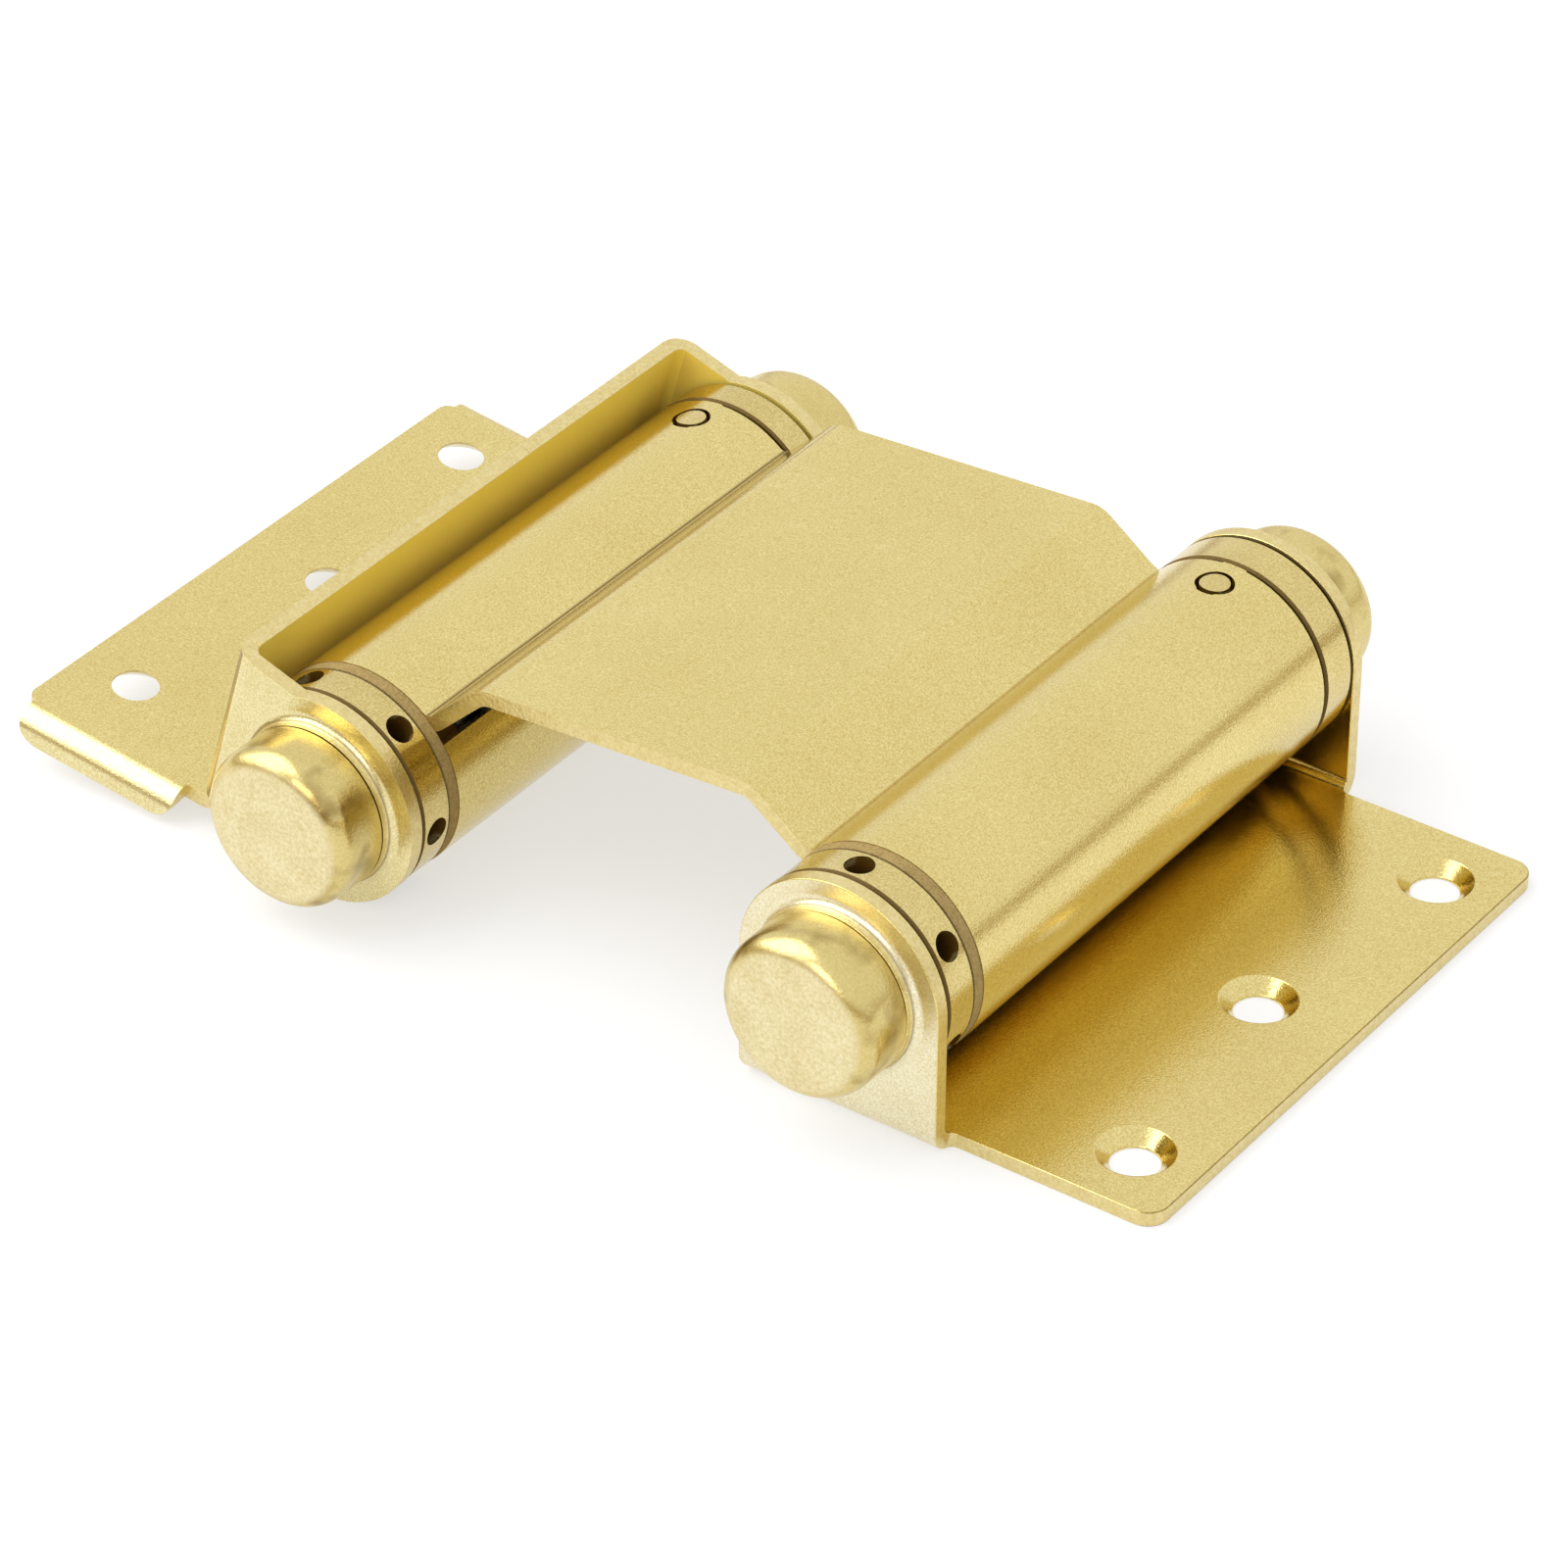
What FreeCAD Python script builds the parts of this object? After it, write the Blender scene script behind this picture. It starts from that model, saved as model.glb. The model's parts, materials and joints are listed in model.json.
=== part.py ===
import FreeCAD, Part
import math
import os

# Double action cafe hinge, lying open on a bench, millimetres.
# +X runs across the hinge towards the frame leaf, +Y runs along the barrels to
# their plug ends, +Z is up. The origin is on the seating face of the frame
# leaf, midway between its two outer screw holes.

vec = FreeCAD.Vector
turn = FreeCAD.Rotation
along_y = vec(0, 1, 0)
middle = vec(0, 0, 0)

# Sheet metal shared by the centre plate and both leaves
sheet = 1.8
fold_inside = 1.1
fold_outside = fold_inside + sheet

# Leaves, along the barrels
leaf_length = 76.0
ear_outer_y = leaf_length / 2 + fold_outside
ear_inner_y = ear_outer_y - sheet

# Barrels rolled from the ends of the centre plate
barrel_radius = 12.4
barrel_bore = barrel_radius - sheet
ear_radius = barrel_radius
axis_spacing = 67.5
free_edge_angle = 61.0
web_lean = 50.0
web_top = 14.6
web_fold_inside = 2.0
valley_fold_inside = 1.0

# Frame leaf, measured from its barrel axis
frame_barrel_clear = 2.5
frame_seat_drop = barrel_radius + frame_barrel_clear + sheet
frame_reach = 37.3
frame_corner = 2.6
frame_hole_inset = 7.8
foot_fillet = 0.8

# Door leaf, measured from its barrel axis in the frame of its plate
door_tilt = 7.1
door_wall_lean = 8.5
door_barrel_clear = 0.9
door_wall_offset = barrel_radius + door_barrel_clear + sheet
door_plate_inset = 1.7
door_plate_drop = barrel_radius - door_plate_inset
door_reach = 42.7
door_corner = 1.5
door_hole_inset = 7.7
door_hole_shift = 1.2
door_wall_inset = 1.2
door_neck_inset = 1.6
door_foot_inset = 2.2
door_wall_rise = barrel_radius - door_wall_inset
door_ear_neck = barrel_radius - door_neck_inset
door_ear_low = barrel_radius - door_foot_inset
door_rear_tuck = 1.0
lip_depth = 3.6
lip_near = 19.9
lip_far = 41.5
lip_near_corner = 2.6
lip_far_corner = 2.8

# Screw holes, three in each leaf with the middle one set towards the barrel
hole_end_inset = 8.4
hole_pitch = leaf_length / 2 - hole_end_inset
middle_hole_setback = 3.8
frame_hole_reach = frame_reach - frame_hole_inset
door_hole_reach = door_reach - door_hole_inset
screw_hole = 2.7
countersink = 4.25

# Drawn boss in each ear, under the cap
boss_height = 1.2
ear_rim = 2.9
cap_radius = ear_radius - ear_rim

# Spindle and caps
cap_wall = 5.0
spindle_radius = cap_radius - cap_wall
spindle_end_gap = 0.4
press = 0.01
running = 0.05
cap_height = 7.5
cap_round = 2.5
cap_crown = 0.3
cap_chamfer = 0.25
cap_bore_depth = 5.0

# Tension collar, fibre washer and plug
end_gap = 0.4
washer_gap = 0.03
washer_thickness = 1.5
ring_step = 0.1
ring_radius = barrel_radius - ring_step
edge_break = 0.3
collar_flange = 4.6
collar_spigot = 4.6
collar_hole = 1.65
collar_hole_count = 6
collar_hole_depth = 5.3
frame_collar_turn = -3.0
door_collar_turn = -22.0
plug_gap = 0.4
plug_flange = 5.1
plug_spigot = 9.0
plug_pin_hole = 2.2
plug_pin = 1.7
plug_pin_setback = 4.1
plug_pin_lean = 5.0
plug_pin_length = 5.5
plug_pin_floor = barrel_radius - plug_pin_length
spacer_inset = 1.7
spacer_radius = cap_radius - spacer_inset

# Torsion spring
wire = 1.4
coil_radius = (barrel_bore + spindle_radius) / 2
coil_turns = 10
spring_elbow = 2.2
spring_gap = 0.2
tang_depth = 4.0
tang_clearance = 0.2

# How far a cutter runs past the metal
overrun = 1.0
same_point = 1e-6

# Places along the barrels, worked out from the sizes above
collar_front = end_gap - ear_inner_y
collar_back = collar_front + collar_flange
barrel_front = collar_back + washer_thickness
spigot_front = barrel_front + collar_spigot
plug_flange_back = ear_inner_y - end_gap
plug_flange_front = plug_flange_back - plug_flange
barrel_rear = plug_flange_front - plug_gap
plug_inner = plug_flange_front - plug_spigot
plug_pin_y = barrel_rear - plug_pin_setback
ear_floor = ear_inner_y + boss_height
boss_top = ear_outer_y + boss_height
spindle_end = boss_top + cap_bore_depth - spindle_end_gap
coil_start = spigot_front + spring_elbow + spring_gap
coil_end = plug_inner - spring_elbow - spring_gap

# Barrel axes, with the door barrel on the bench
rise = frame_seat_drop - barrel_radius
centre_tilt = math.degrees(math.asin(rise / axis_spacing))
frame_axis_x = -frame_hole_reach
frame_axis_z = frame_seat_drop
door_axis_x = frame_axis_x - axis_spacing * math.cos(math.radians(centre_tilt))
door_axis_z = barrel_radius


def save(name, shape):
    """Write one piece as its own STEP file."""
    shape.exportStep("parts/" + name + ".step")


def outline(plane, start, steps):
    """Closed wire through (a, b) points; a step of two points is an arc by way of the first."""
    edges = []
    here = start
    for step in list(steps) + [start]:
        if isinstance(step[0], tuple):
            edges.append(Part.Arc(plane(*here), plane(*step[0]), plane(*step[1])).toShape())
            here = step[1]
        elif math.dist(here, step) > same_point:
            edges.append(Part.LineSegment(plane(*here), plane(*step)).toShape())
            here = step
    return Part.Face(Part.Wire(edges))


def lathe(start, steps):
    """Solid turned about Y from an outline of (radius, y) points."""
    face = outline(lambda r, y: vec(r, y, 0), start, steps)
    return face.revolve(middle, along_y, 360)


def sweep(centre, radius, from_deg, to_deg):
    """Arc step: the point half way round and the end point."""
    angles = ((from_deg + to_deg) / 2, to_deg)
    return tuple((centre[0] + radius * math.cos(math.radians(a)),
                  centre[1] + radius * math.sin(math.radians(a))) for a in angles)


def folded_sheet(plane, start, heading, moves):
    """Section of a sheet seen on edge, followed along its middle line.

    A move is a straight length, or a (inside radius, angle) fold with left positive.
    """
    half = sheet / 2
    left = []
    right = []
    here = vec(start[0], start[1], 0)
    angle = heading
    for move in moves:
        ahead = vec(math.cos(math.radians(angle)), math.sin(math.radians(angle)), 0)
        side = vec(-ahead.y, ahead.x, 0)
        if isinstance(move, tuple):
            middle_radius = move[0] + half
            sense = 1 if move[1] > 0 else -1
            centre = here + side * (sense * middle_radius)
            spoke = here - centre
            halfway = turn(vec(0, 0, 1), move[1] / 2).multVec(spoke)
            final = turn(vec(0, 0, 1), move[1]).multVec(spoke)
            for track, offset in ((left, -sense * half), (right, sense * half)):
                scale = (middle_radius + offset) / middle_radius
                track.append((centre + spoke * scale, centre + halfway * scale, centre + final * scale))
            here = centre + final
            angle += move[1]
        else:
            there = here + ahead * move
            left.append((here + side * half, there + side * half))
            right.append((here - side * half, there - side * half))
            here = there
    edges = []
    back = [tuple(reversed(piece)) for piece in reversed(right)]
    ends = [(left[-1][-1], back[0][0]), (back[-1][-1], left[0][0])]
    for piece in left + [ends[0]] + back + [ends[1]]:
        points = [plane(p.x, p.y) for p in piece]
        if len(points) == 3:
            edges.append(Part.Arc(*points).toShape())
        else:
            edges.append(Part.LineSegment(*points).toShape())
    return Part.Face(Part.Wire(edges))


def across_xz(y):
    """Plane of constant y."""
    return lambda a, b: vec(a, y, b)


def cylinder_y(radius, y_from, y_to):
    """Cylinder along the barrel axis."""
    return Part.makeCylinder(radius, y_to - y_from, vec(0, y_from, 0), along_y)


def spoke_cylinder(radius, lean, y, inner, outer):
    """Radial cylinder from one distance to another off the barrel axis; lean is from up towards +X."""
    out = vec(math.sin(math.radians(lean)), 0, math.cos(math.radians(lean)))
    return Part.makeCylinder(radius, outer - inner, out * inner + vec(0, y, 0), out)


def placed(shape, tilt, x, z):
    """Turn a piece about its barrel axis, clockwise seen from the front, and move it to that axis."""
    copy = shape.copy()
    copy.rotate(middle, along_y, tilt)
    copy.translate(vec(x, 0, z))
    return copy


def at_both_ends(shape):
    """The piece and its mirror image at the plug end."""
    return shape.fuse(shape.mirror(middle, along_y))


def pin_hole(side):
    """Radial hole for a plug pin; side is +1 for the barrel that leans its pin towards +X."""
    inner = barrel_bore - overrun
    return spoke_cylinder(plug_pin_hole, side * plug_pin_lean, plug_pin_y, inner, barrel_radius + overrun)


def make_centre_plate():
    """One sheet: both ends rolled into barrels, the web carried over between them."""
    mid_roll = barrel_radius - sheet / 2
    mid_valley = valley_fold_inside + sheet / 2
    mid_web_fold = web_fold_inside + sheet / 2
    lean = math.radians(web_lean)
    web_turn = 90 - web_lean
    neck = math.sqrt((mid_roll + mid_valley) ** 2 - mid_valley ** 2)
    neck_turn = math.degrees(math.asin(mid_valley / (mid_roll + mid_valley)))
    mid_height = web_top - sheet / 2
    setback = mid_web_fold * math.tan(math.radians(web_turn / 2))
    leg = mid_height / math.cos(lean) - setback - neck
    flat = axis_spacing - 2 * mid_height * math.tan(lean) - 2 * setback
    roll = 360 - free_edge_angle + web_lean - neck_turn
    edge = math.radians(free_edge_angle)
    start = (mid_roll * math.sin(edge) - axis_spacing, mid_roll * math.cos(edge))
    moves = [
        (barrel_bore, -roll),
        (valley_fold_inside, 90 - neck_turn),
        leg,
        (web_fold_inside, -web_turn),
        flat,
        (web_fold_inside, -web_turn),
        leg,
        (valley_fold_inside, 90 - neck_turn),
        (barrel_bore, -roll),
    ]
    section = folded_sheet(across_xz(barrel_front), start, -free_edge_angle, moves)
    plate = section.extrude(vec(0, barrel_rear - barrel_front, 0))
    door_hole = pin_hole(-1)
    door_hole.translate(vec(-axis_spacing, 0, 0))
    return plate.cut(Part.makeCompound([pin_hole(1), door_hole]))


def make_boss(height):
    """Dish drawn outwards from the front ear, one sheet thick, with the spindle hole."""
    face = -ear_outer_y
    top = face - height
    foot = cap_radius + height
    wide = height + sheet
    centre = (foot, top)
    floor_radius = foot - math.sqrt(wide ** 2 - sheet ** 2)
    floor_turn = 180 - math.degrees(math.asin(sheet / wide))
    hole = spindle_radius + press
    return lathe((hole, top), [
        (cap_radius, top),
        sweep(centre, height, 180, 90),
        (foot, face + sheet),
        sweep(centre, wide, 90, floor_turn),
        (floor_radius, top + sheet),
        (hole, top + sheet),
    ])


def with_boss(ear, height):
    """Swap the middle of a flat front ear for the drawn boss."""
    foot = cap_radius + height
    return ear.cut(cylinder_y(foot, -ear_outer_y - overrun, overrun - ear_inner_y)).fuse(make_boss(height))


def screw_hole_cutter(x, y, z_top, z_bottom, sink_up):
    """Through hole with a countersink that opens upwards or downwards."""
    depth = countersink - screw_hole
    hole = Part.makeCylinder(screw_hole, z_top - z_bottom + 2 * overrun, vec(x, y, z_bottom - overrun))
    if sink_up:
        cone = Part.makeCone(screw_hole, countersink, depth, vec(x, y, z_top - depth))
    else:
        cone = Part.makeCone(countersink, screw_hole, depth, vec(x, y, z_bottom))
    return hole.fuse(cone)


def screw_hole_places(reach, shift):
    """Centres of a leaf's three screw holes; reach is negative for the leaf on the left."""
    setback = math.copysign(middle_hole_setback, reach)
    return [(reach, shift - hole_pitch), (reach - setback, shift), (reach, shift + hole_pitch)]


def flat_plate(x_near, x_far, z_bottom, corner):
    """Rectangular leaf plate with both corners of its far edge rounded."""
    half = leaf_length / 2
    step = corner if x_far > x_near else -corner
    blend = corner * (1 - math.sqrt(0.5))
    blend_x = x_far - (blend if x_far > x_near else -blend)
    face = outline(lambda a, b: vec(a, b, z_bottom), (x_near, -half), [
        (x_far - step, -half),
        ((blend_x, -half + blend), (x_far, -half + corner)),
        (x_far, half - corner),
        ((blend_x, half - blend), (x_far - step, half)),
        (x_near, half),
    ])
    return face.extrude(vec(0, 0, sheet))


def make_frame_ear():
    """Front ear of the frame leaf, folded up from the end of the plate, with its foot fillet."""
    plate_end = -leaf_length / 2
    bottom = -frame_seat_drop
    height = frame_seat_drop + ear_radius - fold_outside
    moves = [(fold_inside, -90), height]
    width = 2 * ear_radius + foot_fillet
    section = folded_sheet(lambda a, b: vec(-ear_radius, a, b), (plate_end, bottom + sheet / 2), 180, moves)
    strip = section.extrude(vec(width, 0, 0))
    corner = vec(-ear_radius, -ear_outer_y, bottom)
    tongue = Part.makeBox(2 * ear_radius, ear_outer_y, frame_seat_drop, corner)
    tongue = tongue.fuse(cylinder_y(ear_radius, -ear_outer_y, 0))
    ear = strip.common(tongue)
    foot_corner = vec(ear_radius, plate_end - foot_fillet, bottom)
    foot = Part.makeBox(foot_fillet, foot_fillet, fold_outside, foot_corner)
    scoop = Part.makeCylinder(foot_fillet, fold_outside, foot_corner + vec(foot_fillet, 0, 0))
    return with_boss(ear, boss_height).fuse(strip.common(foot).cut(scoop))


def make_frame_leaf():
    """Flat plate with an ear folded up at each end."""
    bottom = -frame_seat_drop
    plate = flat_plate(-ear_radius, frame_reach, bottom, frame_corner)
    leaf = plate.fuse(at_both_ends(make_frame_ear())).removeSplitter()
    places = screw_hole_places(frame_hole_reach, 0)
    cutters = [screw_hole_cutter(x, y, bottom + sheet, bottom, True) for x, y in places]
    return leaf.cut(Part.makeCompound(cutters))


def tangent_turn(x, z, radius):
    """Angle of the lower tangent point on a circle about the axis, from a point to its left."""
    return math.degrees(math.atan2(z, x) + math.acos(radius / math.hypot(x, z)))


def make_door_ear(boss):
    """Front ear of the door leaf, folded in from the end of its wall; the wall is upright here."""
    plate_end = -leaf_length / 2
    wall_middle = sheet / 2 - door_wall_offset
    tongue_reach = door_wall_offset - fold_outside + ear_radius
    moves = [(fold_inside, 90), tongue_reach]
    section = folded_sheet(lambda a, b: vec(a, b, -ear_radius), (wall_middle, plate_end), -90, moves)
    strip = section.extrude(vec(0, 0, 2 * ear_radius))
    neck_turn = 180 - math.degrees(math.asin(door_ear_neck / ear_radius))
    neck_x = ear_radius * math.cos(math.radians(neck_turn))
    low_turn = tangent_turn(-door_wall_offset, -door_ear_low, ear_radius)
    tongue = outline(across_xz(-ear_outer_y), (-door_wall_offset, door_wall_rise), [
        (neck_x, door_ear_neck),
        sweep(middle, ear_radius, neck_turn, low_turn),
        (-door_wall_offset, -door_ear_low),
    ])
    return with_boss(strip.common(tongue.extrude(vec(0, ear_outer_y, 0))), boss)


def make_lip():
    """Front lip of the door leaf, its plate end turned down, with rounded lower corners."""
    top = -door_plate_drop
    low = top - lip_depth
    moves = [(fold_inside, 90), lip_depth - fold_outside]
    start = (-leaf_length / 2, top - sheet / 2)
    section = folded_sheet(lambda a, b: vec(-lip_far, a, b), start, 180, moves)
    strip = section.extrude(vec(lip_far - lip_near, 0, 0))
    far_centre = (-lip_far + lip_far_corner, low + lip_far_corner)
    near_centre = (-lip_near - lip_near_corner, low + lip_near_corner)
    shape = outline(across_xz(-ear_outer_y), (-lip_far, top), [
        (-lip_far, far_centre[1]),
        sweep(far_centre, lip_far_corner, 180, 270),
        (near_centre[0], low),
        sweep(near_centre, lip_near_corner, 270, 360),
        (-lip_near, top),
    ])
    return strip.common(shape.extrude(vec(0, ear_outer_y, 0)))


def make_door_leaf():
    """Plate, leaning wall and two ears round the barrel, with a turned-down lip at each plate end."""
    lean = math.radians(door_wall_lean)
    mid_fold = fold_inside + sheet / 2
    wall_middle = door_wall_offset - sheet / 2
    plate_middle = door_plate_drop + sheet / 2
    below = (plate_middle + wall_middle * math.sin(lean)) / math.cos(lean)
    fold_turn = 90 - door_wall_lean
    setback = mid_fold * math.tan(math.radians(fold_turn / 2))
    corner_x = -wall_middle * math.cos(lean) - below * math.sin(lean)
    top = (-wall_middle * math.cos(lean) + door_wall_rise * math.sin(lean),
           wall_middle * math.sin(lean) + door_wall_rise * math.cos(lean))
    moves = [door_wall_rise + below - setback, (fold_inside, -fold_turn)]
    section = folded_sheet(across_xz(-leaf_length / 2), top, -90 - door_wall_lean, moves)
    bottom = -door_plate_drop - sheet
    wall = section.extrude(vec(0, leaf_length - door_rear_tuck, 0))
    plate = flat_plate(corner_x - setback, -door_reach, bottom, door_corner)
    rear_ear = make_door_ear(boss_height + door_rear_tuck).mirror(middle, along_y)
    rear_ear.translate(vec(0, -door_rear_tuck, 0))
    ears = make_door_ear(boss_height).fuse(rear_ear)
    ears.rotate(middle, along_y, door_wall_lean)
    leaf = wall.fuse([plate, ears, at_both_ends(make_lip())]).removeSplitter()
    places = screw_hole_places(-door_hole_reach, door_hole_shift)
    cutters = [screw_hole_cutter(x, y, bottom + sheet, bottom, False) for x, y in places]
    return leaf.cut(Part.makeCompound(cutters))


def make_cap():
    """Button cap at the front: slightly crowned face, rolled edge, blind bore for the spindle."""
    base = -boss_top
    face = base - cap_height
    shoulder = (cap_radius - cap_round, face + cap_crown + cap_round)
    crown_mid = ((cap_radius - cap_round) / 2, face + cap_crown / 4)
    return lathe((0, face), [
        (crown_mid, (cap_radius - cap_round, face + cap_crown)),
        sweep(shoulder, cap_round, 270, 360),
        (cap_radius, base - cap_chamfer),
        (cap_radius - cap_chamfer, base),
        (spindle_radius + press, base),
        (spindle_radius + press, base - cap_bore_depth),
        (0, base - cap_bore_depth),
    ])


def make_spindle():
    """Plain rod through both ears, its ends inside the caps."""
    end = spindle_end
    body = spindle_radius - edge_break
    return lathe((0, -end), [
        (body, -end),
        (spindle_radius, edge_break - end),
        (spindle_radius, end - edge_break),
        (body, end),
        (0, end),
    ])


def make_spacer(reach):
    """Small washer that reaches out of the dish of the front ear to keep the collar off the ear."""
    outer = -ear_floor
    inner = collar_front - washer_gap + reach
    ring = cylinder_y(spacer_radius, outer, inner)
    return ring.cut(cylinder_y(spindle_radius + running, outer - overrun, inner + overrun))


def make_fibre_washer():
    """Fibre ring between the collar and the barrel end."""
    front = collar_back + washer_gap
    back = barrel_front - washer_gap
    ring = cylinder_y(ring_radius, front, back)
    return ring.cut(cylinder_y(barrel_bore, front - overrun, back + overrun))


def spring_end(side):
    """Point and direction where the coil ends; side is -1 at the collar, +1 at the plug."""
    point = vec(coil_radius, coil_start if side < 0 else coil_end, 0)
    rise_per_turn = (coil_end - coil_start) / coil_turns
    ahead = vec(0, rise_per_turn, 2 * math.pi * coil_radius)
    ahead.normalize()
    return point, ahead * side


def elbow_points(side):
    """Middle and end of the arc that turns the wire from the coil to run along the barrel."""
    point, ahead = spring_end(side)
    out = along_y * side
    across = out - ahead * out.dot(ahead)
    across.normalize()
    centre = point + across * spring_elbow
    full = math.acos(ahead.dot(out))
    arc = [centre - across * (spring_elbow * math.cos(a)) + ahead * (spring_elbow * math.sin(a))
           for a in (full / 2, full)]
    return point, arc[0], arc[1], ahead


def tang_hole(side):
    """Hole for a spring tang in the collar or the plug."""
    end = elbow_points(side)[2]
    out = along_y * side
    depth = spring_elbow + tang_depth + tang_clearance
    return Part.makeCylinder(wire + tang_clearance, depth, end - out * spring_elbow, out)


def make_spring():
    """Open left-hand torsion spring, tightened by the collar, with a tang along the barrel at each end."""
    length = coil_end - coil_start
    pitch = length / coil_turns
    helix = Part.makeHelix(pitch, length, coil_radius, 0, True)
    start = Part.makeCircle(wire, vec(coil_radius, 0, 0), vec(0, -2 * math.pi * coil_radius, pitch))
    coil = Part.Wire(helix.Edges).makePipeShell([Part.Wire(start)], True, True)
    coil.rotate(middle, vec(1, 0, 0), -90)
    coil.translate(vec(0, coil_start, 0))
    spring = coil
    for side in (-1, 1):
        point, halfway, end, ahead = elbow_points(side)
        bend = Part.Wire(Part.Arc(point, halfway, end).toShape())
        wire_ring = Part.Wire(Part.makeCircle(wire, point, ahead))
        out = along_y * side
        tang = Part.makeCylinder(wire, tang_depth, end, out)
        spring = spring.fuse([bend.makePipeShell([wire_ring], True, True), tang])
    return spring.removeSplitter()


def make_collar(hole_turn):
    """Turned tension collar: drilled flange outside the barrel, spigot inside it."""
    spigot = barrel_bore - running
    bore = spindle_radius + running
    collar = lathe((bore, collar_front), [
        (ring_radius - edge_break, collar_front),
        (ring_radius, collar_front + edge_break),
        (ring_radius, collar_back - edge_break),
        (ring_radius - edge_break, collar_back),
        (spigot, collar_back),
        (spigot, spigot_front - edge_break),
        (spigot - edge_break, spigot_front),
        (bore, spigot_front),
    ])
    centre_y = (collar_front + collar_back) / 2
    step = 360 / collar_hole_count
    floor = ring_radius - collar_hole_depth
    outer = ring_radius + overrun
    cutters = [spoke_cylinder(collar_hole, hole_turn + step * n, centre_y, floor, outer)
               for n in range(collar_hole_count)]
    return collar.cut(Part.makeCompound(cutters + [tang_hole(-1)]))


def make_plug(side, tuck):
    """Rear plug: flange as wide as the barrel, spigot pinned inside it."""
    back = plug_flange_back - tuck
    spigot = barrel_bore - press
    bore = spindle_radius + running
    plug = lathe((bore, back), [
        (barrel_radius - edge_break, back),
        (barrel_radius, back - edge_break),
        (barrel_radius, plug_flange_front + edge_break),
        (barrel_radius - edge_break, plug_flange_front),
        (spigot, plug_flange_front),
        (spigot, plug_inner + edge_break),
        (spigot - edge_break, plug_inner),
        (bore, plug_inner),
    ])
    lean = side * plug_pin_lean
    socket = spoke_cylinder(plug_pin + press, lean, plug_pin_y, plug_pin_floor, barrel_radius)
    return plug.cut(Part.makeCompound([socket, tang_hole(1)]))


def make_plug_pin(side):
    """Pin through the barrel wall into the plug, its head dressed to the barrel."""
    outer = barrel_radius + overrun
    pin = spoke_cylinder(plug_pin, side * plug_pin_lean, plug_pin_y, plug_pin_floor, outer)
    return pin.common(cylinder_y(barrel_radius, plug_pin_y - plug_pin_hole, plug_pin_y + plug_pin_hole))


os.makedirs("parts", exist_ok=True)
save("centre_plate", placed(make_centre_plate(), -centre_tilt, frame_axis_x, frame_axis_z))
save("frame_leaf", placed(make_frame_leaf(), 0, frame_axis_x, frame_axis_z))
save("door_leaf", placed(make_door_leaf(), door_tilt, door_axis_x, door_axis_z))

front_cap = make_cap()
rear_cap = front_cap.mirror(middle, along_y)
spindle = make_spindle()
fibre_washer = make_fibre_washer()
spring = make_spring()
sides = (
    ("frame", 1, frame_axis_x, frame_axis_z, frame_collar_turn, 0, 0),
    ("door", -1, door_axis_x, door_axis_z, door_collar_turn, door_tilt, door_rear_tuck),
)
for name, side, x, z, collar_turn, leaf_tilt, tuck in sides:
    rear_spacer = make_spacer(tuck).mirror(middle, along_y)
    save(name + "_spindle", placed(spindle, leaf_tilt, x, z))
    save(name + "_front_cap", placed(front_cap, leaf_tilt, x, z))
    save(name + "_rear_cap", placed(rear_cap, leaf_tilt, x, z))
    save(name + "_front_spacer", placed(make_spacer(0), leaf_tilt, x, z))
    save(name + "_rear_spacer", placed(rear_spacer, leaf_tilt, x, z))
    save(name + "_fibre_washer", placed(fibre_washer, -centre_tilt, x, z))
    save(name + "_torsion_spring", placed(spring, -centre_tilt, x, z))
    save(name + "_tension_collar", placed(make_collar(collar_turn + centre_tilt), -centre_tilt, x, z))
    save(name + "_rear_plug", placed(make_plug(side, tuck), -centre_tilt, x, z))
    save(name + "_plug_pin", placed(make_plug_pin(side), -centre_tilt, x, z))
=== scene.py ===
import json
import math

import bpy
from mathutils import Matrix, Vector
from mathutils.bvhtree import BVHTree
from mathutils.interpolate import poly_3d_calc


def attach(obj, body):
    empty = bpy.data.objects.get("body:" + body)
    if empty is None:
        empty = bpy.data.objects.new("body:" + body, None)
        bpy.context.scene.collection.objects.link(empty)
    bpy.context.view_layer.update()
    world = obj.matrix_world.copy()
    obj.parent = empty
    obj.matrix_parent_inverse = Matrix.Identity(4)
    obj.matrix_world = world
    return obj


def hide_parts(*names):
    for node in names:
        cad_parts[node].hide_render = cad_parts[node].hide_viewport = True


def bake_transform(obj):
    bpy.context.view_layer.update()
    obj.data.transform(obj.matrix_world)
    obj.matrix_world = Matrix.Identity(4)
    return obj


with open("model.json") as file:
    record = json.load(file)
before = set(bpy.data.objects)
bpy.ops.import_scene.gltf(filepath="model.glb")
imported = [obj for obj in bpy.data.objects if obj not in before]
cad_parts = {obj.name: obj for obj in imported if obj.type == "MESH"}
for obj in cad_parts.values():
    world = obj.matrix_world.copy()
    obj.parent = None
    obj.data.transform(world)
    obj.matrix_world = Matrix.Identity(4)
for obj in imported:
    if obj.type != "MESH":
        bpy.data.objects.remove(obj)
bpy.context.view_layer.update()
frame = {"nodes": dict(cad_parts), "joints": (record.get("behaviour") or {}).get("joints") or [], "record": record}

# A double action cafe hinge in brass-plated steel, lying open on a white bench.
# Sizes are in metres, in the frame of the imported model.

millimetre = 0.001

# The camera stands where the photograph was taken from
view_azimuth = math.radians(35.041)
view_elevation = math.radians(34.563)
view_roll = math.radians(0.53)
view_distance = 0.78236
view_target = Vector((-0.05884, -0.00894, 0.012))
focal_length = 167.56
sensor_width = 36.0

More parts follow.
